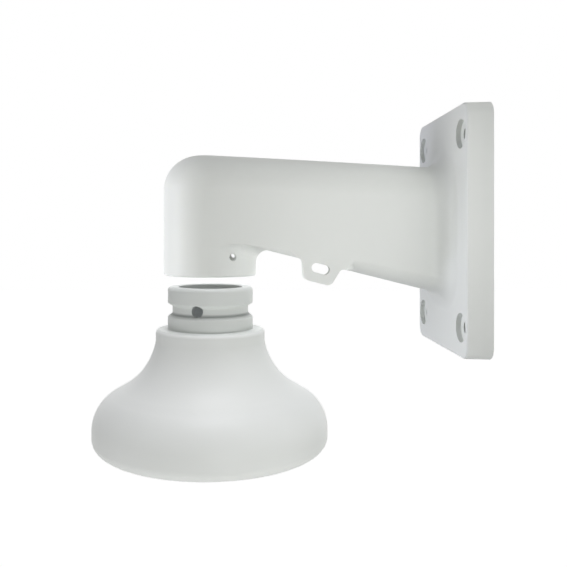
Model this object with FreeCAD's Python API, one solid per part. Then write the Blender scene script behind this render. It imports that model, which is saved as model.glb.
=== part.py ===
import FreeCAD, Part
import math
import os

# Wall bracket for a dome camera: a hollow wall arm, and the bell-shaped cap that hangs from its outlet.
# Millimetres and degrees, +Z up. The wall is the plane X = 0, and the arm reaches out from it along -X.
# The origin is the middle of the wall plate's back face, and the near side is the side with Y < 0.

# Wall plate
plate_width = 103.0
plate_height = 150.0
plate_thickness = 15.4
plate_corner_radius = 8.0
plate_draft_angle = 1.4
plate_edge_round = 1.2
plate_skin = 4.4
plate_rim = 5.0
pocket_corner_radius = 3.5

# Wall screws, each in a round recess with a boss behind it
screw_spacing_across = 80.0
screw_spacing_up = 114.0
screw_hole_radius = 3.5
screw_recess_radius = 8.65
screw_recess_depth = 3.0
screw_boss_wall = 2.0

# Ribs across the pocket in the back of the plate
rib_thickness = 3.0
rib_set_back = 2.5
upright_rib_offset = 13.0
cross_rib_offset = 20.0

# Outlet and elbow
reach = 164.4
outlet_radius = 30.0
outlet_rim_level = -28.4
elbow_top_level = 48.0
elbow_round = 22.0
rim_round = 1.8
outlet_set_in = 0.05

# Arm between the outlet and the wall plate
arm_root_width = 45.0
arm_top_fall_angle = 2.86
underside_level = -2.8
underside_fall_angle = 14.1
under_corner_fillet = 7.0
lower_round_start = 19.0
lower_round_at_root = 12.0
lower_round_least = 0.3
lower_round_crease = 10.0
lower_round_sections = 5
lower_round_stop = 5.0
arm_wall = 3.5
arm_embed = 2.0
top_flat_least = 0.3
root_fillet = 12.0

# Socket for the cap's neck, and the tapped holes of its clamping screws
socket_wall = 2.3
socket_end_gap = 0.6
socket_chamfer = 0.2
clamp_screw_count = 3
clamp_screw_height = 12.3
clamp_screw_draw = 0.6
clamp_screw_first_angle = 60.0
clamp_hole_radius = 2.1
clamp_hole_chamfer = 0.5

# Lug for the safety rope, flush with the arm's near side
lug_share = 0.4624
lug_thickness = 5.0
lug_set_in = 0.15
lug_depth = 11.7
lug_rise = 2.5
lug_root_half_length = 12.2
lug_tip_half_length = 8.6
lug_tip_round = 4.4
lug_root_fillet = 3.0
lug_shoulder = 0.3
slot_length = 11.3
slot_width = 5.8
slot_below_arm = 3.0

# Neck of the cap
neck_clearance = 0.25
neck_length = 27.0
neck_bore_radius = 20.5
neck_edge_round = 1.5
bore_chamfer = 0.8
groove_depth = 3.0
groove_floor_width = 5.8
seat_gap = 0.3
neck_hole_radius = 3.75
neck_hole_height = 13.0
neck_hole_angle = -106.7

# Collar and bell of the cap
collar_radius = 35.1
collar_round = 4.0
collar_height = 7.5
flare_start_angle = 10.0
flare_end_angle = 60.0
flare_share = 1.07
crown_share = 0.597
bell_radius = 75.3
skirt_height = 4.5
lip_round = 7.6
lip_flat = 1.2
bell_wall = 4.0
seat_wall = 4.5

# How far below the outlet's rim the neck starts when the cap is drawn out
drawn_gap = 7.3

# Bosses inside the bell for the camera's screws
boss_count = 3
boss_edge_gap = 7.5
boss_radius = 5.0
boss_recess = 4.0
boss_hole_radius = 1.65
boss_hole_depth = 10.0
boss_web_thickness = 3.0
boss_first_angle = 90.0

# Angles, and the small sizes used in the working
eighth_turn = 45.0
quarter_turn = 90.0
full_turn = 360.0
overrun = 1.0
tolerance = 0.01
up = FreeCAD.Vector(0, 0, 1)
across = FreeCAD.Vector(0, 1, 0)
outward = FreeCAD.Vector(-1, 0, 0)
origin = FreeCAD.Vector(0, 0, 0)


def sine(angle):
    return math.sin(math.radians(angle))


def cosine(angle):
    return math.cos(math.radians(angle))


def tangent(angle):
    return math.tan(math.radians(angle))


# Sizes that follow from the ones above
plate_front = -plate_thickness
pocket_depth = plate_thickness - plate_skin
outlet_axis = -reach
arm_run = reach - plate_thickness
side_loss = outlet_radius - arm_root_width / 2
side_radius = (arm_run ** 2 + side_loss ** 2) / (2 * side_loss)
lug_run = lug_share * arm_run
lug_lean = math.degrees(math.atan2(lug_root_half_length - lug_tip_half_length, lug_depth))
lug_half_length = lug_root_half_length + lug_shoulder
lug_half_length += lug_root_fillet * tangent((quarter_turn - lug_lean) / 2)
screw_boss_radius = screw_recess_radius + screw_boss_wall
socket_radius = outlet_radius - socket_wall
socket_depth = neck_length - seat_gap + socket_end_gap
clamp_screw_level = outlet_rim_level + clamp_screw_height
neck_radius = socket_radius - neck_clearance
groove_centre = clamp_screw_height + seat_gap - clamp_screw_draw
seat_level = outlet_rim_level - drawn_gap - neck_length
bell_reach = bell_radius - collar_radius
flare_radius = flare_share * bell_reach
crown_radius = crown_share * bell_reach
mouth_radius = bell_radius - lip_round - lip_flat
inner_crown_radius = crown_radius - lip_round - lip_flat
boss_circle_radius = mouth_radius - boss_edge_gap - boss_radius
flare_centre_radius = collar_radius + flare_radius * cosine(flare_start_angle)
flare_centre_height = -collar_height + flare_radius * sine(flare_start_angle)
slope_start_radius = flare_centre_radius - flare_radius * cosine(flare_end_angle)
slope_start_height = flare_centre_height - flare_radius * sine(flare_end_angle)
slope_end_radius = bell_radius - crown_radius * (1 - cosine(flare_end_angle))
slope_drop = (slope_end_radius - slope_start_radius) / tangent(flare_end_angle)
crown_height = slope_start_height - slope_drop - crown_radius * sine(flare_end_angle)
bell_bottom = crown_height - skirt_height - lip_round


def vector(x, y, z):
    return FreeCAD.Vector(x, y, z)


def line(start, end):
    return Part.LineSegment(start, end).toShape()


def arc(start, middle, end):
    return Part.Arc(start, middle, end).toShape()


def near(value, target):
    return abs(value - target) < tolerance


def edges_where(shape, test):
    """The edges of a shape whose ends and middle all pass a test on the point."""
    found = []
    for edge in shape.Edges:
        low, high = edge.ParameterRange
        places = [low, (low + high) / 2, high]
        if all(test(edge.valueAt(place)) for place in places):
            found.append(edge)
    return found


def about_outlet(shape, angle):
    """A copy of a shape turned about the outlet's axis."""
    turned = shape.copy()
    turned.rotate(vector(outlet_axis, 0, 0), up, angle)
    return turned


def upright_outline(x, half_width, half_height, corner):
    """A rectangle with rounded corners, in the upright plane at x."""
    arcs = []
    starts = [0.0, quarter_turn, 2 * quarter_turn, 3 * quarter_turn]
    signs = [(1, 1), (-1, 1), (-1, -1), (1, -1)]
    for start, (side, rise) in zip(starts, signs):
        y = side * (half_width - corner)
        z = rise * (half_height - corner)
        points = []
        for angle in (start, start + eighth_turn, start + quarter_turn):
            points.append(vector(x, y + corner * cosine(angle), z + corner * sine(angle)))
        arcs.append(points)
    edges = []
    for index, points in enumerate(arcs):
        following = arcs[(index + 1) % len(arcs)]
        edges.append(arc(*points))
        edges.append(line(points[-1], following[0]))
    return Part.Wire(edges)


def make_plate():
    """The wall plate's outside, drafted towards its front, with the front edge rounded."""
    shrink = plate_thickness * tangent(plate_draft_angle)
    outlines = []
    for x, inset in ((0.0, 0.0), (plate_front, shrink)):
        outlines.append(upright_outline(x, plate_width / 2 - inset, plate_height / 2 - inset,
                                        plate_corner_radius - inset))
    plate = Part.makeLoft(outlines, True, True)
    front_edges = edges_where(plate, lambda point: near(point.x, plate_front))
    return plate.makeFillet(plate_edge_round, front_edges)


def arm_half_width(run, inset):
    """Half the arm's width in plan, at a distance from the outlet's axis."""
    return outlet_radius - side_radius + math.sqrt((side_radius - inset) ** 2 - run ** 2)


def plan_outline(inset, end_run, level):
    """The outlet and the arm seen from above, as a closed outline at one level."""
    radius = outlet_radius - inset
    far = vector(outlet_axis, radius, level)
    close = vector(outlet_axis, -radius, level)
    sides = []
    for side in (-1, 1):
        points = []
        for run in (end_run / 2, end_run):
            points.append(vector(outlet_axis + run, side * arm_half_width(run, inset), level))
        sides.append(points)
    return Part.Wire([
        arc(far, vector(outlet_axis - radius, 0, level), close),
        arc(close, sides[0][0], sides[0][1]),
        line(sides[0][1], sides[1][1]),
        arc(sides[1][1], sides[1][0], far),
    ])


def falling_level(level, angle, x):
    """The height at x of a plane that falls towards the wall from a level at the outlet's axis."""
    return level - (x - outlet_axis) * tangent(angle)


def sloped_block(start, level, angle, far_level):
    """Everything from a falling plane to a far level, from start to past the wall's plane."""
    half_width = plate_width / 2
    end = plate_thickness
    corners = [
        vector(start, -half_width, falling_level(level, angle, start)),
        vector(end, -half_width, falling_level(level, angle, end)),
        vector(end, -half_width, far_level),
        vector(start, -half_width, far_level),
    ]
    return Part.Face(Part.makePolygon(corners + corners[:1])).extrude(plate_width * across)


def lower_round(run):
    """The radius of the arm's lower edges, which grows from the outlet towards the wall."""
    share = (arm_run - run) / (arm_run - lower_round_start)
    return max(lower_round_at_root * (1 - share ** 2), lower_round_least)


def stations(start, end):
    """Evenly spaced places along the arm, each with the radius of its lower edges there."""
    places = []
    for index in range(lower_round_sections):
        run = start + (end - start) * index / (lower_round_sections - 1)
        places.append((run, lower_round(run)))
    return places


def lower_edge_cutter(side, inset, places, ruled):
    """What rounds off a stretch of one lower edge of the arm, with a given radius at each place."""
    sections = []
    for run, full_radius in places:
        radius = max(full_radius - inset, lower_round_least)
        x = outlet_axis + run
        bottom = falling_level(underside_level + inset, underside_fall_angle, x)
        y = arm_half_width(run, inset) - radius * cosine(lower_round_crease)
        z = bottom + radius * cosine(lower_round_crease)
        outer = y + radius + overrun
        under = z - radius - overrun
        beside = vector(x, side * (y + radius), z)
        middle = vector(x, side * (y + radius * cosine(eighth_turn)), z - radius * sine(eighth_turn))
        below = vector(x, side * y, z - radius)
        sections.append(Part.Wire([
            arc(beside, middle, below),
            line(below, vector(x, side * y, under)),
            line(vector(x, side * y, under), vector(x, side * outer, under)),
            line(vector(x, side * outer, under), vector(x, side * outer, z)),
            line(vector(x, side * outer, z), beside),
        ]))
    return Part.makeLoft(sections, True, ruled)


def edge_cutters(inset, end_run):
    """The cutters for both lower edges; on the outside, the near one stops on each side of the lug."""
    whole = stations(lower_round_start, end_run)
    cutters = [lower_edge_cutter(1, inset, whole, False)]
    if inset:
        cutters.append(lower_edge_cutter(-1, inset, whole, False))
        return cutters
    before = stations(lower_round_start, lug_run - lug_half_length - lower_round_stop)
    before.append((lug_run - lug_half_length, lower_round_least))
    after = stations(lug_run + lug_half_length + lower_round_stop, end_run)
    after.insert(0, (lug_run + lug_half_length, lower_round_least))
    cutters.append(lower_edge_cutter(-1, inset, before, True))
    cutters.append(lower_edge_cutter(-1, inset, after, True))
    return cutters


def make_arm(inset, low, end_run):
    """The outlet, elbow and arm as one form; with an inset, the hollow inside them.

    Below the arm the outlet is a hair slimmer, so that the corner's fillet ends cleanly on the arm's side.
    """
    radius = outlet_radius - inset
    top = elbow_top_level - inset
    bottom = underside_level + inset
    form = Part.Face(plan_outline(inset, end_run, -plate_height)).extrude(2 * plate_height * up)
    form = form.cut(Part.makeCylinder(radius + overrun, plate_height + low,
                                      vector(outlet_axis, 0, -plate_height)))
    above = sloped_block(outlet_axis - 2 * radius, top, arm_top_fall_angle, 2 * plate_height)
    form = form.cut(above)
    top_edges = edges_where(form, lambda point: near(
        point.z, falling_level(top, arm_top_fall_angle, point.x)))
    side_edges = [edge for edge in top_edges if edge.BoundBox.XLength > tolerance]
    corner = min(elbow_round - inset, arm_half_width(end_run, inset) - top_flat_least)
    form = form.makeFillet(corner, side_edges)
    below = sloped_block(outlet_axis, bottom, underside_fall_angle, -2 * plate_height)
    below = below.cut(Part.makeCylinder(radius - outlet_set_in, 4 * plate_height,
                                        vector(outlet_axis, 0, -2 * plate_height)))
    corner_edges = edges_where(below, lambda point: near(
        point.z, falling_level(bottom, underside_fall_angle, point.x)) and near(
        math.hypot(point.x - outlet_axis, point.y), radius - outlet_set_in))
    form = form.cut(below.makeFillet(under_corner_fillet + inset, corner_edges))
    for cutter in edge_cutters(inset, end_run):
        form = form.cut(cutter)
    return form


def place_on_lug(shape):
    """Moves a shape drawn about the lug's own origin to the lug's place on the arm."""
    x = outlet_axis + lug_run
    level = falling_level(underside_level, underside_fall_angle, x)
    shape.rotate(origin, across, underside_fall_angle)
    shape.rotate(origin, up, math.degrees(math.asin(lug_run / side_radius)))
    shape.translate(vector(x, lug_set_in - arm_half_width(lug_run, 0.0), level))
    return shape


def make_lug():
    """The safety rope's lug: a flat plate below the arm, narrowing to a rounded tip."""
    outline = []
    for side in (-1, 1):
        points = [
            vector(side * lug_half_length, 0, lug_rise),
            vector(side * lug_half_length, 0, 0),
            vector(side * lug_root_half_length, 0, 0),
            vector(side * lug_tip_half_length, 0, -lug_depth),
        ]
        outline += points[::-side]
    lug = Part.Face(Part.makePolygon(outline + outline[:1])).extrude(lug_thickness * across)
    for height, length, radius in ((0.0, lug_root_half_length, lug_root_fillet),
                                   (-lug_depth, lug_tip_half_length, lug_tip_round)):
        edges = edges_where(lug, lambda point: near(point.z, height) and near(abs(point.x), length))
        lug = lug.makeFillet(radius, edges)
    return place_on_lug(lug)


def make_slot():
    """The lug's slot, a long hole with round ends along the arm's underside."""
    depth = lug_thickness + 2 * overrun
    radius = slot_width / 2
    half_straight = slot_length / 2 - radius
    slot = Part.makeBox(2 * half_straight, depth, slot_width,
                        vector(-half_straight, -overrun, -slot_below_arm - radius))
    for x in (-half_straight, half_straight):
        end = Part.makeCylinder(radius, depth, vector(x, -overrun, -slot_below_arm), across)
        slot = slot.fuse(end)
    return place_on_lug(slot)


def screw_places():
    """The middles of the four wall screws, in the wall's plane."""
    places = []
    for y in (-screw_spacing_across / 2, screw_spacing_across / 2):
        for z in (-screw_spacing_up / 2, screw_spacing_up / 2):
            places.append(vector(0, y, z))
    return places


def make_pocket():
    """The hollow in the back of the plate, around the screw bosses and between the ribs."""
    outline = upright_outline(overrun, plate_width / 2 - plate_rim, plate_height / 2 - plate_rim,
                              pocket_corner_radius)
    pocket = Part.Face(outline).extrude((pocket_depth + overrun) * outward)
    kept = []
    for place in screw_places():
        kept.append(Part.makeCylinder(screw_boss_radius, plate_thickness, place, outward))
    for offset in (-upright_rib_offset, upright_rib_offset):
        kept.append(Part.makeBox(plate_thickness, rib_thickness, plate_height, vector(
            plate_front - rib_set_back, offset - rib_thickness / 2, -plate_height / 2)))
    for offset in (-cross_rib_offset, cross_rib_offset):
        kept.append(Part.makeBox(plate_thickness, plate_width, rib_thickness, vector(
            plate_front - rib_set_back, -plate_width / 2, offset - rib_thickness / 2)))
    return pocket.cut(kept)


def make_clamp_hole():
    """A tapped hole through the socket's wall, with a chamfered mouth, on the +X side."""
    start = vector(outlet_axis + socket_radius - overrun, 0, clamp_screw_level)
    hole = Part.makeCylinder(clamp_hole_radius, socket_wall + 2 * overrun, start, -outward)
    mouth_start = vector(outlet_axis + outlet_radius - clamp_hole_chamfer, 0, clamp_screw_level)
    mouth_radius_past = clamp_hole_radius + clamp_hole_chamfer + overrun
    mouth = Part.makeCone(clamp_hole_radius, mouth_radius_past, clamp_hole_chamfer + overrun,
                          mouth_start, -outward)
    return hole.fuse(mouth)


def make_socket():
    """The round hole that takes the cap's neck, with a chamfered mouth."""
    socket = Part.makeCylinder(socket_radius, socket_depth + overrun,
                               vector(outlet_axis, 0, outlet_rim_level - overrun))
    mouth = Part.makeCone(socket_radius + socket_chamfer + overrun, socket_radius,
                          socket_chamfer + overrun, vector(outlet_axis, 0, outlet_rim_level - overrun))
    return socket.fuse(mouth)


def make_rim_cutter():
    """What rounds off the outlet's rim."""
    inner = outlet_axis + outlet_radius - rim_round
    level = outlet_rim_level + rim_round
    points = []
    for angle in (-quarter_turn, -eighth_turn, 0.0):
        points.append(vector(inner + rim_round * cosine(angle), 0, level + rim_round * sine(angle)))
    outer = outlet_axis + outlet_radius + overrun
    low = outlet_rim_level - overrun
    return turned_solid([arc(*points), vector(outer, 0, level), vector(outer, 0, low), vector(inner, 0, low)])


def make_wall_arm():
    """The whole wall arm, one hollow casting."""
    arm = make_arm(0.0, outlet_rim_level, arm_run + arm_embed)
    body = make_plate().fuse(arm.cut(make_rim_cutter()))
    root_edges = edges_where(body, lambda point: near(point.x, plate_front) and abs(
        point.y) < outlet_radius and abs(point.z) < screw_spacing_up / 2)
    body = body.makeFillet(root_fillet, root_edges)
    body = body.fuse(make_lug())
    hollows = [make_pocket(), make_arm(arm_wall, outlet_rim_level, reach + overrun), make_socket()]
    body = body.cut(hollows).cut(make_slot())
    for place in screw_places():
        hole = Part.makeCylinder(screw_hole_radius, plate_thickness + 2 * overrun,
                                 place - overrun * outward, outward)
        recess = Part.makeCylinder(screw_recess_radius, screw_recess_depth + overrun, place + (
            plate_thickness - screw_recess_depth) * outward, outward)
        body = body.cut([hole, recess])
    for index in range(clamp_screw_count):
        angle = clamp_screw_first_angle + index * full_turn / clamp_screw_count
        body = body.cut(about_outlet(make_clamp_hole(), angle))
    return body


def cap_point(radius, height):
    """A point of the cap's outline, from its radius and its height above the seat."""
    return vector(outlet_axis + radius, 0, seat_level + height)


def rounding(centre_radius, centre_height, radius, start, end):
    """An arc of the cap's outline about a centre, between two directions."""
    points = []
    for angle in (start, (start + end) / 2, end):
        points.append(cap_point(centre_radius + radius * cosine(angle),
                                centre_height + radius * sine(angle)))
    return arc(*points)


def joined(pieces):
    """A closed outline from arcs and points, with a straight line wherever two of them don't meet."""
    edges = []
    previous = None
    first = None
    for piece in pieces:
        if isinstance(piece, FreeCAD.Vector):
            start = piece
            end = piece
        else:
            start = piece.valueAt(piece.FirstParameter)
            end = piece.valueAt(piece.LastParameter)
        if previous is None:
            first = start
        elif previous.distanceToPoint(start) > tolerance:
            edges.append(line(previous, start))
        if not isinstance(piece, FreeCAD.Vector):
            edges.append(piece)
        previous = end
    edges.append(line(previous, first))
    return Part.Wire(edges)


def turned_solid(pieces):
    """The solid that an outline makes when it turns about the outlet's axis."""
    return Part.Face(joined(pieces)).revolve(vector(outlet_axis, 0, 0), up, full_turn)


def make_cap_outside():
    """The cap's neck with its groove, the seat, the collar and the bell, as one solid."""
    floor_radius = neck_radius - groove_depth
    groove_top = groove_centre + groove_floor_width / 2
    groove_bottom = groove_centre - groove_floor_width / 2
    return turned_solid([
        cap_point(0, neck_length),
        rounding(neck_radius - neck_edge_round, neck_length - neck_edge_round, neck_edge_round,
                 quarter_turn, 0.0),
        cap_point(neck_radius, groove_top + groove_depth),
        cap_point(floor_radius, groove_top),
        cap_point(floor_radius, groove_bottom),
        cap_point(neck_radius, groove_bottom - groove_depth),
        cap_point(neck_radius, 0),
        rounding(collar_radius - collar_round, -collar_round, collar_round, quarter_turn, 0.0),
        rounding(flare_centre_radius, flare_centre_height, -flare_radius,
                 flare_start_angle, flare_end_angle),
        rounding(bell_radius - crown_radius, crown_height, crown_radius, flare_end_angle, 0.0),
        rounding(bell_radius - lip_round, crown_height - skirt_height, lip_round, 0.0, -quarter_turn),
        cap_point(0, bell_bottom),
    ])


def make_cap_hollow():
    """The bore through the neck and the space inside the bell, as one solid."""
    inner_radius = flare_radius + bell_wall
    bell_start = flare_centre_radius - inner_radius * cosine(flare_start_angle)
    slope_radius = flare_centre_radius - inner_radius * cosine(flare_end_angle)
    slope_height = flare_centre_height - inner_radius * sine(flare_end_angle)
    crown_start = mouth_radius - inner_crown_radius * (1 - cosine(flare_end_angle))
    drop = (crown_start - slope_radius) / tangent(flare_end_angle)
    inner_crown_height = slope_height - drop - inner_crown_radius * sine(flare_end_angle)
    return turned_solid([
        cap_point(0, neck_length + overrun),
        cap_point(neck_bore_radius + bore_chamfer + overrun, neck_length + overrun),
        cap_point(neck_bore_radius, neck_length - bore_chamfer),
        cap_point(neck_bore_radius, -seat_wall),
        cap_point(bell_start, -seat_wall),
        rounding(flare_centre_radius, flare_centre_height, -inner_radius,
                 flare_start_angle, flare_end_angle),
        rounding(mouth_radius - inner_crown_radius, inner_crown_height, inner_crown_radius,
                 flare_end_angle, 0.0),
        cap_point(mouth_radius, bell_bottom - overrun),
        cap_point(0, bell_bottom - overrun),
    ])


def make_boss():
    """A camera screw's boss with the web that ties it to the bell's wall, on the +X side."""
    face = seat_level + bell_bottom + boss_recess
    height = -bell_bottom - collar_height - boss_recess
    boss = Part.makeCylinder(boss_radius, height, vector(outlet_axis + boss_circle_radius, 0, face))
    web_length = mouth_radius + overrun - boss_circle_radius
    web = Part.makeBox(web_length, boss_web_thickness, height,
                       vector(outlet_axis + boss_circle_radius, -boss_web_thickness / 2, face))
    return boss.fuse(web)


def make_hanging_cap():
    """The whole hanging cap, one hollow casting with round symmetry but for its bosses and neck hole."""
    bosses = []
    holes = []
    hole_start = seat_level + bell_bottom + boss_recess - overrun
    for index in range(boss_count):
        angle = boss_first_angle + index * full_turn / boss_count
        bosses.append(about_outlet(make_boss(), angle))
        hole = Part.makeCylinder(boss_hole_radius, boss_hole_depth + overrun,
                                 vector(outlet_axis + boss_circle_radius, 0, hole_start))
        holes.append(about_outlet(hole, angle))
    cap = make_cap_outside().cut(make_cap_hollow().cut(bosses))
    neck_hole = Part.makeCylinder(neck_hole_radius, neck_radius,
                                  vector(outlet_axis, 0, seat_level + neck_hole_height), -outward)
    return cap.cut(holes + [about_outlet(neck_hole, neck_hole_angle)])


os.makedirs("parts", exist_ok=True)
make_wall_arm().exportStep("parts/wall_arm.step")
make_hanging_cap().exportStep("parts/hanging_cap.step")
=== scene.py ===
import math
import bmesh
import bpy
from mathutils import Matrix, Vector


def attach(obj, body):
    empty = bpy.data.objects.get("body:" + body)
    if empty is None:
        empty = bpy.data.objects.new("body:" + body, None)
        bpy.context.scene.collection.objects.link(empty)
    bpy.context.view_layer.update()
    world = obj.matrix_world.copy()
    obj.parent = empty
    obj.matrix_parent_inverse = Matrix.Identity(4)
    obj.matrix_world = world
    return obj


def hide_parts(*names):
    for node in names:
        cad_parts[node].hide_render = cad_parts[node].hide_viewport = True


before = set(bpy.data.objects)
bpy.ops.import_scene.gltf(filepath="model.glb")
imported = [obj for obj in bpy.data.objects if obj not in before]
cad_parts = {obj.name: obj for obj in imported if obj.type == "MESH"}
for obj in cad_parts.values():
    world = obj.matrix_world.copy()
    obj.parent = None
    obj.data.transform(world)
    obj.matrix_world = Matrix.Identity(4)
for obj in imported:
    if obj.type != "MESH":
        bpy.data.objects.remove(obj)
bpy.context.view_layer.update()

# The wall arm is one hollow aluminium casting under a white powder coat. Its plate screws to the wall,
# the arm tapers towards the plate, and the elbow turns down into a round outlet. The lug for the safety
# rope is cast flush with the arm's near side, and three holes tapped into the outlet take the screws
# that clamp the cap.
MM = 0.001
QUARTER_TURN = math.pi / 2
FULL_TURN = 2 * math.pi
SMOOTH_ANGLE = math.radians(33)
LARGE_FACE_WEIGHT = 60
OUTLET_AXIS = Vector((-164.4 * MM, 0, 0))
SOCKET_RADIUS = 27.7
CLAMP_SCREW_LEVEL, CLAMP_SCREW_ANGLES = -16.1, (60, 180, 300)
CLAMP_MINOR, CLAMP_MAJOR, CLAMP_PITCH = 2.1, 2.5, 0.8
CLAMP_DRILL_LEAD, CLAMP_DRILL_DEPTH, CLAMP_THREAD_DEPTH = 1.0, 4.3, 2.4
DRILL_SIDES = 48
RIDGE_SHARE, RIDGE_BURIED, RIDGE_STEPS = 0.44, 0.08, 36
SOLID_WELD = 0.002
COAT_COLOUR, CLOUDED_COAT_COLOUR = (0.795, 0.815, 0.785, 1), (0.765, 0.785, 0.756, 1)
COAT_ROUGHNESS, ROUGHNESS_SPREAD = 0.44, 0.10


class Nodes:
    """The nodes of one material or of the world, all made through one method."""

    def __init__(self, owner):
        owner.use_nodes = True
        self.tree = owner.node_tree
        self.tree.nodes.clear()

    def node(self, kind, settings, inputs, output=0):
        """A new node, by its type: its settings come first, then a value or a link for each socket."""
        made = self.tree.nodes.new(kind)
        for name, value in settings.items():
            setattr(made, name, value)
        for name, value in inputs.items():
            if isinstance(value, Level):
                self.tree.links.new(value.socket, made.inputs[name])
            else:
                made.inputs[name].default_value = value
        return Level(self, made.outputs[output]) if len(made.outputs) else made


class Level:
    """One value that changes from place to place, so that its maths reads as plain sums."""

    def __init__(self, nodes, socket):
        self.nodes = nodes
        self.socket = socket

    def worked(self, operation, first, second):
        return self.nodes.node("ShaderNodeMath", {"operation": operation}, {0: first, 1: second})

    def __add__(self, other):
        return self.worked("ADD", self, other)

    def __sub__(self, other):
        return self.worked("SUBTRACT", self, other)

    def __rsub__(self, other):
        return self.worked("SUBTRACT", other, self)

    def __mul__(self, other):
        return self.worked("MULTIPLY", self, other)

    __radd__ = __add__
    __rmul__ = __mul__


class Finish(Nodes):
    """A surface finish under way, whose nodes start from the place on the piece itself."""

    def __init__(self, name):
        self.material = bpy.data.materials.new(name)
        super().__init__(self.material)
        self.place = self.node("ShaderNodeTexCoord", {}, {}, "Object")


def powder_coat(coat, colour, clouded_colour, painted_shade_places=()):
    """A fine, satin powder coat: a faint orange-peel skin, slightly uneven in tone and sheen, with
    painted shade mixed into the tone at any places given.
    """
    peel = coat.node("ShaderNodeTexNoise", {}, {
        "Vector": coat.place, "Scale": 900.0, "Detail": 2.0, "Roughness": 0.5}, "Fac")
    cloud = coat.node("ShaderNodeTexNoise", {}, {
        "Vector": coat.place, "Scale": 26.0, "Detail": 3.0, "Roughness": 0.55}, "Fac")
    tone = coat.node("ShaderNodeMix", {"data_type": "RGBA"}, {
        "Factor": cloud, "A": colour, "B": clouded_colour}, "Result")
    # Painted shade: each given place mixes its darker colour into the tone.
    for mask, shade_colour in painted_shade_places:
        tone = coat.node("ShaderNodeMix", {"data_type": "RGBA"}, {
            "Factor": mask, "A": tone, "B": shade_colour}, "Result")
    skin = coat.node("ShaderNodeBump", {}, {
        "Strength": 0.06, "Distance": 0.00025, "Height": peel + cloud * 0.4}, "Normal")
    shader = coat.node("ShaderNodeBsdfPrincipled", {}, {
        "Base Color": tone, "Roughness": COAT_ROUGHNESS + (cloud - 0.5) * ROUGHNESS_SPREAD,
        "Normal": skin, "IOR": 1.48, "Specular IOR Level": 0.2})
    coat.node("ShaderNodeOutputMaterial", {}, {"Surface": shader})
    return coat.material


def finished(name, mesh_in_work, material, body):
    """Turns a bmesh into an object with smooth faces and crisp edges, on its body."""
    for face in mesh_in_work.faces:
        face.smooth = True
    for edge in mesh_in_work.edges:
        edge.smooth = len(edge.link_faces) == 2 and edge.calc_face_angle(0.0) < SMOOTH_ANGLE
    mesh = bpy.data.meshes.new(name)
    mesh_in_work.to_mesh(mesh)
    mesh_in_work.free()
    mesh.materials.append(material)
    made = bpy.data.objects.new(name, mesh)
    bpy.context.scene.collection.objects.link(made)
    weighted = made.modifiers.new("even shading", "WEIGHTED_NORMAL")
    weighted.keep_sharp = True
    weighted.weight = LARGE_FACE_WEIGHT
    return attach(made, body)


def cut_away(shape, cutter):
    """What is left of a shape when the cutter's space is taken from it."""
    pair = []
    for part in (shape, cutter):
        mesh = bpy.data.meshes.new("in work")
        part.to_mesh(mesh)
        part.free()
        pair.append(bpy.data.objects.new("in work", mesh))
        bpy.context.scene.collection.objects.link(pair[-1])
    boolean = pair[0].modifiers.new("cut", "BOOLEAN")
    boolean.operation = "DIFFERENCE"
    boolean.solver = "EXACT"
    boolean.object = pair[1]
    left = bmesh.new()
    left.from_object(pair[0], bpy.context.evaluated_depsgraph_get())
    for part in pair:
        bpy.data.objects.remove(part)
    return left


def put_in(shape, other):
    """Adds another shape to a shape, as loose geometry of the same piece."""
    mesh = bpy.data.meshes.new("in work")
    other.to_mesh(mesh)
    other.free()
    shape.from_mesh(mesh)
    bpy.data.meshes.remove(mesh)


def turned_and_moved(shape, angle, axis, move=(0, 0, 0)):
    """Turns a shape about an axis through the origin, then moves it on, in metres."""
    bmesh.ops.rotate(shape, verts=shape.verts, cent=(0, 0, 0), matrix=Matrix.Rotation(angle, 3, axis))
    bmesh.ops.translate(shape, verts=shape.verts, vec=move)
    return shape


def drilled_rod(radius, start, depth):
    """A round rod along +X, from a start on the X axis, in millimetres."""
    rod = bmesh.new()
    bmesh.ops.create_cone(rod, cap_ends=True, segments=DRILL_SIDES, radius1=radius * MM,
                          radius2=radius * MM, depth=depth * MM)
    return turned_and_moved(rod, QUARTER_TURN, "Y", ((start + depth / 2) * MM, 0, 0))


def thread(crest_radius, root_radius, pitch, start, depth):
    """The ridge of a screw thread along +X, from a start on the X axis, in millimetres. Its foot is
    buried a little in the wall of its hole."""
    ridge = bmesh.new()
    half = pitch * RIDGE_SHARE
    foot_radius = root_radius + RIDGE_BURIED
    ridge.verts.new((start * MM, 0, foot_radius * MM))
    for along, radius in ((half, crest_radius), (2 * half, foot_radius)):
        drawn = bmesh.ops.extrude_vert_indiv(ridge, verts=[ridge.verts[:][-1]])
        drawn["verts"][0].co = ((start + along) * MM, 0, radius * MM)
    bmesh.ops.contextual_create(ridge, geom=ridge.verts[:])
    turns = depth / pitch - 1
    steps = int(RIDGE_STEPS * turns)
    bmesh.ops.spin(ridge, geom=ridge.verts[:] + ridge.edges[:] + ridge.faces[:], cent=(0, 0, 0),
                   axis=(1, 0, 0), dvec=(turns * pitch * MM / steps, 0, 0), angle=FULL_TURN * turns,
                   steps=steps)
    bmesh.ops.recalc_face_normals(ridge, faces=ridge.faces)
    return ridge


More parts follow.
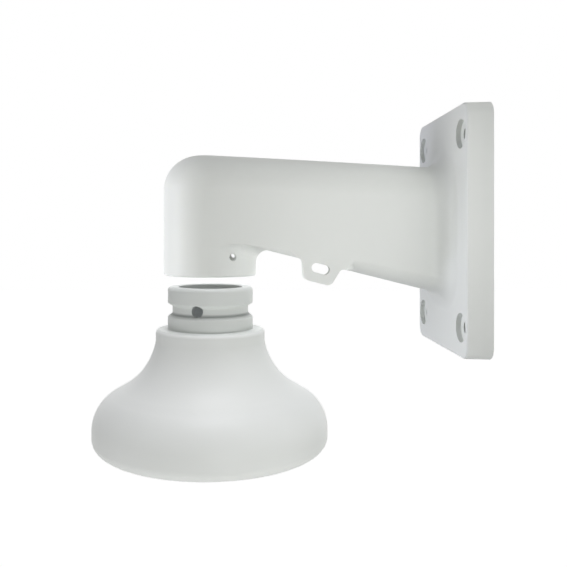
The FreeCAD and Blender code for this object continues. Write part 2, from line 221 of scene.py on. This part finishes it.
arm_coat = powder_coat(Finish("white powder coat on the arm"), COAT_COLOUR, CLOUDED_COAT_COLOUR)
arm_shape = bmesh.new()
arm_shape.from_mesh(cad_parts["wall_arm"].data)
bmesh.ops.remove_doubles(arm_shape, verts=arm_shape.verts, dist=SOLID_WELD * MM)
drills = bmesh.new()
ridges = bmesh.new()
for angle in CLAMP_SCREW_ANGLES:
    drill = drilled_rod(CLAMP_MAJOR, SOCKET_RADIUS - CLAMP_DRILL_LEAD, CLAMP_DRILL_DEPTH)
    ridge = thread(CLAMP_MINOR, CLAMP_MAJOR, CLAMP_PITCH, SOCKET_RADIUS, CLAMP_THREAD_DEPTH)
    for kept, made in ((drills, drill), (ridges, ridge)):
        put_in(kept, turned_and_moved(made, math.radians(angle), "Z",
                                      OUTLET_AXIS + Vector((0, 0, CLAMP_SCREW_LEVEL * MM))))
arm_shape = cut_away(arm_shape, drills)
put_in(arm_shape, ridges)
arm = finished("wall_arm_casting", arm_shape, arm_coat, "wall_arm")
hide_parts("wall_arm")

# The hanging cap is a second casting in the same coat: a neck turned with a groove for the clamping
# screws, a flat seat that stops against the outlet's rim, a collar, and a flared bell for the camera.
SEAT_LEVEL = -62.7
NECK_RADIUS, NECK_LENGTH, NECK_ROUND = 27.45, 27.0, 2.3
BORE_RADIUS, BORE_ROUND = 20.5, 0.8
GROOVE_FOOT, GROOVE_LOW, GROOVE_HIGH, GROOVE_TOP, GROOVE_DEPTH = 7.9, 10.2, 14.9, 16.7, 3.0
COLLAR_RADIUS, COLLAR_ROUND, COLLAR_HEIGHT = 35.1, 2.4, 7.5
FLARE_RADIUS, FLARE_START, FLARE_END = 43.014, math.radians(10), math.radians(60)
CROWN_RADIUS, BELL_RADIUS, SKIRT_HEIGHT, LIP_ROUND = 24.0, 75.3, 4.5, 7.6
MOUTH_RADIUS, INNER_CROWN_RADIUS, BELL_WALL, SEAT_WALL = 66.5, 15.2, 4.0, 4.5
EDGE_EASE, CORNER_EASE, ROOF_EASE, TURNED_WELD = 0.5, 0.4, 1.0, 0.001
CAP_SIDES, BOSS_SIDES = 160, 40
# Painted shade: the darker colours of the neck and seat, of the groove's foot, and inside the bore and
# the hole.
NECK_SHADE_COLOUR, GROOVE_FOOT_SHADE_COLOUR = (0.70, 0.725, 0.695, 1), (0.46, 0.48, 0.465, 1)
BORE_SHADE_COLOUR = (0.42, 0.44, 0.44, 1)
cap_finish = Finish("white powder coat on the cap with painted shade")


def risen(value, start, fade):
    """Nought up to the start and one past the fade, with a soft way between, in millimetres."""
    return cap_finish.node("ShaderNodeMapRange", {"interpolation_type": "SMOOTHSTEP"}, {
        "Value": value, "From Min": start * MM, "From Max": (start + fade) * MM})


# Painted shade on the cap's coat: a little darker on the neck and the seat, darker still in the
# groove's foot, and darkest inside the bore and the hole. Each change has a start, measured from the
# axis or above the seat, and a fade.
BORE_SHADE_MARGIN = 0.5
SHADE_ENDS_FROM_AXIS = (NECK_RADIUS - GROOVE_DEPTH - BORE_SHADE_MARGIN, 0.3)
BORE_SHADE_FROM, SHADE_ENDS_ABOVE = (0.1 - SEAT_WALL, 0.5), (23.0, 0.6)
NECK_SHADE_FROM = (-0.7, 0.6)
DARKEST_FROM, LIGHTER_ABOVE = (GROOVE_FOOT + 0.9, 1.0), (GROOVE_LOW, 1.4)
level_place = cap_finish.node("ShaderNodeVectorMath", {"operation": "MULTIPLY"}, {
    0: cap_finish.place, 1: (1, 1, 0)})
from_axis = cap_finish.node("ShaderNodeVectorMath", {"operation": "DISTANCE"}, {
    0: level_place, 1: OUTLET_AXIS}, "Value")
above_seat = cap_finish.node("ShaderNodeSeparateXYZ", {}, {
    "Vector": cap_finish.place}, "Z") - SEAT_LEVEL * MM
# Painted shade inside the bore and the hole, ending a little below the neck's top.
bore_shade = (1 - risen(from_axis, *SHADE_ENDS_FROM_AXIS)) * (1 - risen(above_seat, *SHADE_ENDS_ABOVE)) * (
    risen(above_seat, *BORE_SHADE_FROM))
# Painted shade on the neck and the seat.
shaded_neck_and_seat = risen(above_seat, *NECK_SHADE_FROM)
# Painted shade in the groove's foot, darkest low in the groove and lighter towards its lower flank.
groove_foot_shade = (1 - risen(above_seat, *LIGHTER_ABOVE)) * risen(above_seat, *DARKEST_FROM)
cap_coat = powder_coat(cap_finish, COAT_COLOUR, CLOUDED_COAT_COLOUR, (
    (shaded_neck_and_seat, NECK_SHADE_COLOUR), (groove_foot_shade, GROOVE_FOOT_SHADE_COLOUR), (bore_shade, BORE_SHADE_COLOUR)))


class Section:
    """A half section that is drawn point by point in millimetres, then turned about an upright axis."""

    def __init__(self, radius, height):
        self.shape = bmesh.new()
        self.first = self.shape.verts.new(self.at(radius, height))
        self.tip = self.first
        self.corners = []

    def at(self, radius, height):
        return Vector((radius * MM, 0, (SEAT_LEVEL + height) * MM))

    def straight(self, radius, height, eased=0.0):
        """Draws on to a point; a corner that is eased is rounded off by that much once all is drawn."""
        drawn = bmesh.ops.extrude_vert_indiv(self.shape, verts=[self.tip])
        self.tip = drawn["verts"][0]
        self.tip.co = self.at(radius, height)
        if eased:
            self.corners.append((self.tip, eased))

    def curved(self, centre_radius, centre_height, angle, steps):
        """Draws on with an arc about a centre."""
        drawn = bmesh.ops.spin(self.shape, geom=[self.tip], cent=self.at(centre_radius, centre_height),
                               axis=(0, -1, 0), angle=angle, steps=steps)
        self.tip = [part for part in drawn["geom_last"] if isinstance(part, bmesh.types.BMVert)][0]

    def turned(self, closed, sides):
        """The skin that the section makes when it turns about the upright axis."""
        if closed:
            self.shape.edges.new((self.tip, self.first))
        for corner, eased in self.corners:
            bmesh.ops.bevel(self.shape, geom=[corner], offset=eased * MM, segments=4, profile=0.5,
                            affect="VERTICES")
        bmesh.ops.spin(self.shape, geom=self.shape.verts[:] + self.shape.edges[:], cent=(0, 0, 0),
                       axis=(0, 0, 1), angle=FULL_TURN, steps=sides, use_merge=True)
        bmesh.ops.remove_doubles(self.shape, verts=self.shape.verts, dist=TURNED_WELD * MM)
        bmesh.ops.recalc_face_normals(self.shape, faces=self.shape.faces)
        return self.shape


flare_centre = (COLLAR_RADIUS + FLARE_RADIUS * math.cos(FLARE_START),
                FLARE_RADIUS * math.sin(FLARE_START) - COLLAR_HEIGHT)
slope = (flare_centre[0] - FLARE_RADIUS * math.cos(FLARE_END),
         flare_centre[1] - FLARE_RADIUS * math.sin(FLARE_END))
slope_end = BELL_RADIUS - CROWN_RADIUS * (1 - math.cos(FLARE_END))
slope_end_height = slope[1] - (slope_end - slope[0]) / math.tan(FLARE_END)
crown_height = slope_end_height - CROWN_RADIUS * math.sin(FLARE_END)
bell_bottom = crown_height - SKIRT_HEIGHT - LIP_ROUND
inner_radius = FLARE_RADIUS + BELL_WALL
inner_slope = (flare_centre[0] - inner_radius * math.cos(FLARE_END),
               flare_centre[1] - inner_radius * math.sin(FLARE_END))
inner_slope_end = MOUTH_RADIUS - INNER_CROWN_RADIUS * (1 - math.cos(FLARE_END))
inner_crown_height = (inner_slope[1] - (inner_slope_end - inner_slope[0]) / math.tan(FLARE_END)
                      - INNER_CROWN_RADIUS * math.sin(FLARE_END))
roof_radius = flare_centre[0] - inner_radius * math.cos(FLARE_START)

cap_section = Section(BORE_RADIUS, -SEAT_WALL)
cap_section.straight(BORE_RADIUS, NECK_LENGTH - BORE_ROUND)
cap_section.curved(BORE_RADIUS + BORE_ROUND, NECK_LENGTH - BORE_ROUND, -QUARTER_TURN, steps=4)
cap_section.straight(NECK_RADIUS - NECK_ROUND, NECK_LENGTH)
cap_section.curved(NECK_RADIUS - NECK_ROUND, NECK_LENGTH - NECK_ROUND, -QUARTER_TURN, steps=6)
for radius, height, eased in (
        (NECK_RADIUS, GROOVE_TOP, EDGE_EASE), (NECK_RADIUS - GROOVE_DEPTH, GROOVE_HIGH, CORNER_EASE),
        (NECK_RADIUS - GROOVE_DEPTH, GROOVE_LOW, CORNER_EASE), (NECK_RADIUS, GROOVE_FOOT, EDGE_EASE),
        (NECK_RADIUS, 0, CORNER_EASE), (COLLAR_RADIUS - COLLAR_ROUND, 0, 0)):
    cap_section.straight(radius, height, eased)
cap_section.curved(COLLAR_RADIUS - COLLAR_ROUND, -COLLAR_ROUND, -QUARTER_TURN, steps=8)
cap_section.straight(COLLAR_RADIUS, -COLLAR_HEIGHT)
cap_section.curved(*flare_centre, FLARE_END - FLARE_START, steps=16)
cap_section.straight(slope_end, slope_end_height)
cap_section.curved(BELL_RADIUS - CROWN_RADIUS, crown_height, -FLARE_END, steps=14)
cap_section.straight(BELL_RADIUS, crown_height - SKIRT_HEIGHT)
cap_section.curved(BELL_RADIUS - LIP_ROUND, crown_height - SKIRT_HEIGHT, -QUARTER_TURN, steps=12)
cap_section.straight(MOUTH_RADIUS, bell_bottom, EDGE_EASE)
cap_section.straight(MOUTH_RADIUS, inner_crown_height)
cap_section.curved(MOUTH_RADIUS - INNER_CROWN_RADIUS, inner_crown_height, FLARE_END, steps=10)
cap_section.straight(*inner_slope)
cap_section.curved(*flare_centre, FLARE_START - FLARE_END, steps=12)
cap_section.straight(roof_radius, -SEAT_WALL, ROOF_EASE)
cap_shape = cap_section.turned(True, CAP_SIDES)

# A round hole goes through the neck's wall at the height of the groove, off to one side.
NECK_HOLE_RADIUS, NECK_HOLE_HEIGHT, NECK_HOLE_ANGLE = 3.75, 13.0, math.radians(-106.7)
NECK_DRILL_LEAD, NECK_DRILL_DEPTH = 4.0, 15.0
neck_drill = drilled_rod(NECK_HOLE_RADIUS, BORE_RADIUS - NECK_DRILL_LEAD, NECK_DRILL_DEPTH)
turned_and_moved(neck_drill, NECK_HOLE_ANGLE, "Z", (0, 0, (SEAT_LEVEL + NECK_HOLE_HEIGHT) * MM))
cap_shape = cut_away(cap_shape, neck_drill)

# Three bosses inside the bell take the camera's screws. Each is tapped from below, a thin web ties it
# to the bell's wall, and both are cut off on a slope inside the roof.
BOSS_RADIUS, BOSS_CIRCLE, BOSS_RECESS, BOSS_ANGLES = 5.0, 54.0, 4.0, (90, 210, 330)
BOSS_MINOR, BOSS_MAJOR, BOSS_PITCH, BOSS_DEPTH = 1.65, 2.0, 0.7, 10.0
BOSS_TOP, BOSS_THREAD_START = -38.4, 0.2
WEB_THICKNESS, WEB_RAISED, WEB_IN_WALL, WEB_START = 3.0, 0.05, 1.0, BOSS_RADIUS * 0.8
boss_face = bell_bottom + BOSS_RECESS
for angle in BOSS_ANGLES:
    boss_section = Section(0, boss_face + BOSS_DEPTH)
    boss_section.straight(BOSS_MAJOR, boss_face + BOSS_DEPTH)
    boss_section.straight(BOSS_MAJOR, boss_face)
    boss_section.straight(BOSS_RADIUS, boss_face, CORNER_EASE)
    boss_section.straight(BOSS_RADIUS, BOSS_TOP + BOSS_RADIUS)
    boss_section.straight(0, BOSS_TOP + BOSS_RADIUS)
    boss = boss_section.turned(False, BOSS_SIDES)
    ridge = thread(BOSS_MINOR, BOSS_MAJOR, BOSS_PITCH, BOSS_THREAD_START, BOSS_DEPTH)
    put_in(boss, turned_and_moved(ridge, -QUARTER_TURN, "Y", (0, 0, (SEAT_LEVEL + boss_face) * MM)))
    web = bmesh.new()
    web_length = MOUTH_RADIUS + WEB_IN_WALL - BOSS_CIRCLE - WEB_START
    web_height = BOSS_TOP - boss_face + BOSS_RADIUS
    bmesh.ops.create_cube(web, size=1.0)
    bmesh.ops.scale(web, verts=web.verts, vec=(web_length * MM, WEB_THICKNESS * MM, web_height * MM))
    bmesh.ops.translate(web, verts=web.verts, vec=(
        (WEB_START + web_length / 2) * MM, 0,
        (SEAT_LEVEL + boss_face + WEB_RAISED + web_height / 2) * MM))
    put_in(boss, web)
    bmesh.ops.bisect_plane(boss, geom=boss.verts[:] + boss.edges[:] + boss.faces[:],
                           plane_co=(0, 0, (SEAT_LEVEL + BOSS_TOP) * MM),
                           plane_no=(math.cos(FLARE_END), 0, math.sin(FLARE_END)), clear_outer=True)
    bmesh.ops.translate(boss, verts=boss.verts, vec=(BOSS_CIRCLE * MM, 0, 0))
    put_in(cap_shape, turned_and_moved(boss, math.radians(angle), "Z"))
bmesh.ops.translate(cap_shape, verts=cap_shape.verts, vec=OUTLET_AXIS)
cap = finished("hanging_cap_casting", cap_shape, cap_coat, "hanging_cap")
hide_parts("hanging_cap")

# The floor lies well below the bracket, as it does under one on a wall, and is plain and pale. It keeps
# the bracket's shadow, and what the camera sees of it otherwise is the photograph's white.
FLOOR_LEVEL, FLOOR_SIZE = -0.55, 12.0
FLOOR_COLOUR, FLOOR_GLOW = (0.80, 0.80, 0.80, 1), 0.85
BACKDROP_COLOUR = (1, 1, 1, 1)


def seen_itself(nodes):
    """One for a ray that shows the thing itself, in a mirror and through glass too, or else nought."""
    return (nodes.node("ShaderNodeLightPath", {}, {}, "Is Camera Ray")
            + nodes.node("ShaderNodeLightPath", {}, {}, "Is Glossy Ray")
            + nodes.node("ShaderNodeLightPath", {}, {}, "Is Transmission Ray"))


pale = Finish("plain pale floor")
matt = pale.node("ShaderNodeBsdfDiffuse", {}, {"Color": FLOOR_COLOUR})
white = pale.node("ShaderNodeEmission", {}, {
    "Color": BACKDROP_COLOUR, "Strength": seen_itself(pale) * FLOOR_GLOW})
pale.node("ShaderNodeOutputMaterial", {}, {
    "Surface": pale.node("ShaderNodeAddShader", {}, {0: matt, 1: white})})
floor_shape = bmesh.new()
bmesh.ops.create_grid(floor_shape, x_segments=1, y_segments=1, size=FLOOR_SIZE / 2)
bmesh.ops.translate(floor_shape, verts=floor_shape.verts, vec=(0, 0, FLOOR_LEVEL))
floor_mesh = bpy.data.meshes.new("floor")
floor_shape.to_mesh(floor_mesh)
floor_shape.free()
floor_mesh.materials.append(pale.material)
floor = bpy.data.objects.new("floor", floor_mesh)
bpy.context.scene.collection.objects.link(floor)

# Studio light: a pale room all round, which the camera sees as white, and soft boxes. The photograph is
# put together from two pictures that were lit differently, so each casting has soft boxes of its own.
ROOM_LEVEL, BACKDROP_LEVEL = 0.2, 1.0
world = bpy.data.worlds.new("studio")
bpy.context.scene.world = world
studio = Nodes(world)
room = studio.node("ShaderNodeBackground", {}, {"Color": BACKDROP_COLOUR, "Strength": ROOM_LEVEL})
backdrop = studio.node("ShaderNodeBackground", {}, {
    "Color": BACKDROP_COLOUR, "Strength": BACKDROP_LEVEL})
studio.node("ShaderNodeOutputWorld", {}, {
    "Surface": studio.node("ShaderNodeMixShader", {}, {0: seen_itself(studio), 1: room, 2: backdrop})})

LAMP_AIM = (-0.14, 0, -0.02)
POOL_WIDTH, POOL_HEIGHT, POOL_SPREAD = 0.10, 0.15, math.radians(40)
WHITE, COOL, BLUE, WARM = (1, 1, 1), (0.96, 0.95, 1), (0.79, 0.80, 1), (1, 0.98, 0.8)


def soft_box(name, place, width, height, tint, power, lit, aim=LAMP_AIM, spread=math.pi):
    """A rectangular lamp that faces the bracket, and lights and shades one casting alone."""
    lamp = bpy.data.lights.new(name, "AREA")
    lamp.shape = "RECTANGLE"
    lamp.size = width
    lamp.size_y = height
    lamp.color = tint
    lamp.energy = power
    lamp.spread = spread
    box = bpy.data.objects.new(name, lamp)
    box.location = place
    box.rotation_mode = "QUATERNION"
    box.rotation_quaternion = (Vector(aim) - Vector(place)).to_track_quat("-Z", "Y")
    box.light_linking.receiver_collection = lit
    box.light_linking.blocker_collection = lit
    bpy.context.scene.collection.objects.link(box)


lit_sets = []
for piece in (arm, cap):
    lit = bpy.data.collections.new("lit with " + piece.name)
    lit.objects.link(piece)
    lit_sets.append(lit)
for name, place, width, height, tint, arm_and_cap_powers in (
        ("left lamp", (-0.90, -0.10, 0.02), 0.3, 0.5, BLUE, (2.42, 0)),
        ("near left lamp", (-0.50, -0.09, -0.04), 0.15, 0.3, WARM, (0.50, 0)),
        ("low left lamp", (-0.90, 0.10, -0.40), 0.2, 0.4, BLUE, (1.22, 0)),
        ("low front left lamp", (-0.90, -0.15, -0.40), 0.4, 0.5, COOL, (0, 1.30)),
        ("lamp below on the left", (-0.50, -0.20, -0.50), 0.5, 0.4, WHITE, (0, 0.88)),
        ("lamp below on the right", (0.30, -0.20, -0.50), 0.5, 0.4, WHITE, (1.15, 1.35)),
        ("low right lamp", (0.55, -0.20, -0.50), 0.3, 0.2, WHITE, (0.40, 0)),
        ("front right lamp", (0.90, -1.20, 0.10), 0.8, 0.8, WHITE, (2.7, 0)),
        ("high right lamp", (0.30, -0.10, 0.70), 0.5, 0.5, WHITE, (1.25, 0)),
        ("near low lamp", (-0.04, -0.44, -0.16), 0.15, 0.12, WHITE, (0, 0.68)),
        ("top lamp", (-0.12, -0.05, 0.90), 0.5, 0.5, COOL, (0, 6.90)),
        ("far lamp", (0.15, 0.90, 0.05), 0.3, 0.5, WHITE, (1.5, 0)),
        ("lamp behind the cap", (-0.16, 0.90, 0.05), 0.6, 0.5, WHITE, (0, 0.8)),
        ("back lamp", (0.35, 0.55, -0.10), 0.4, 0.5, WHITE, (0.6, 0.4))):
    for power, lit in zip(arm_and_cap_powers, lit_sets):
        if power:
            soft_box(name, place, width, height, tint, power, lit)
for name, place, aim, power in (
        ("pool of light on the arm", (0.10, -0.45, 0.05), (-0.09, 0, 0), 0.028),
        ("second pool of light on the arm", (-0.02, -0.60, 0), (-0.09, 0, 0.01), 0.038)):
    soft_box(name, place, POOL_WIDTH, POOL_HEIGHT, WHITE, power, lit_sets[0], aim=aim,
             spread=POOL_SPREAD)

# The camera stands level in front of the arm, square to it, as the photograph's did. It faces one pixel
# of the photograph, off the middle, so the picture is shifted to bring that pixel to its place.
FOCAL_PIXELS, FRAME_PIXELS = 665.0, 567.0
FACED_ACROSS, FACED_DOWN = 243.0, 234.0
SENSOR, NEAREST_SEEN = 36.0, 0.01
CAMERA_PLACE = (-0.1433, -0.431, -0.0019)
camera = bpy.data.cameras.new("camera")
camera.sensor_width = SENSOR
camera.lens = FOCAL_PIXELS / FRAME_PIXELS * SENSOR
camera.shift_x = (FRAME_PIXELS / 2 - FACED_ACROSS) / FRAME_PIXELS
camera.shift_y = (FACED_DOWN - FRAME_PIXELS / 2) / FRAME_PIXELS
camera.clip_start = NEAREST_SEEN
stand = bpy.data.objects.new("camera", camera)
stand.location = CAMERA_PLACE
stand.rotation_euler = (QUARTER_TURN, 0, 0)
bpy.context.scene.collection.objects.link(stand)
bpy.context.scene.camera = stand
bpy.context.scene.view_settings.view_transform = "Standard"
